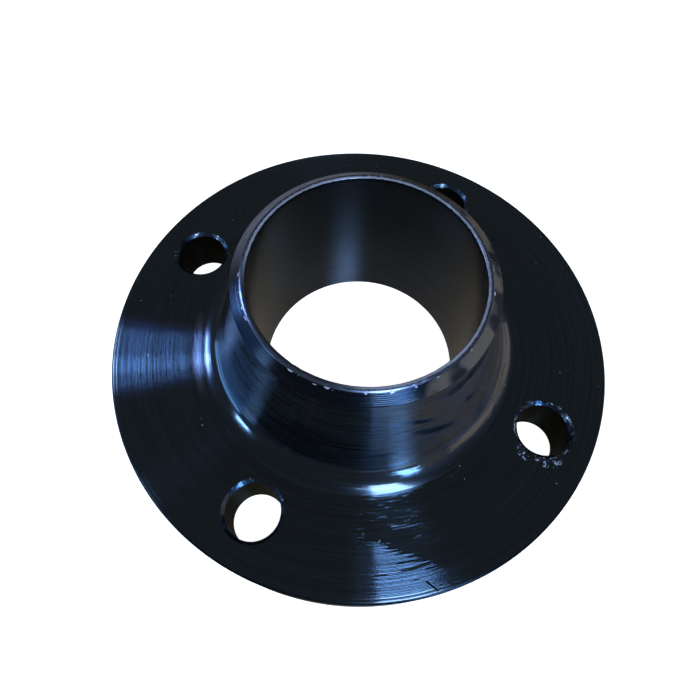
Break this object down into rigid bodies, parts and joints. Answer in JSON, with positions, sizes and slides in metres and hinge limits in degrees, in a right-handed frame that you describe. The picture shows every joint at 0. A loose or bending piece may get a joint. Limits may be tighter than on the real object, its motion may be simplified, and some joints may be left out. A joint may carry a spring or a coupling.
{
  "type": "weld neck flange",
  "caption": "Round raised-face steel pipe flange with bolt holes, a tapered hub and a bevelled neck for butt welding to a pipe.",
  "frame": {"origin": "Centre of the gasket face, on the pipe axis, at the lowest plane of the part.", "axes": "+Z along the pipe axis from the gasket face to the weld end; the bolt holes straddle the X and Y axes."},
  "size_m": [0.1906, 0.1906, 0.0698],
  "materials": {
    "blackened_steel": "Turned carbon steel under a thin glossy black protective coating; lathe lines show through it, and edges are worn to bare steel."
  },
  "bodies": {
    "root": {"flange_forging": "blackened_steel"}
  },
  "joints": []
}
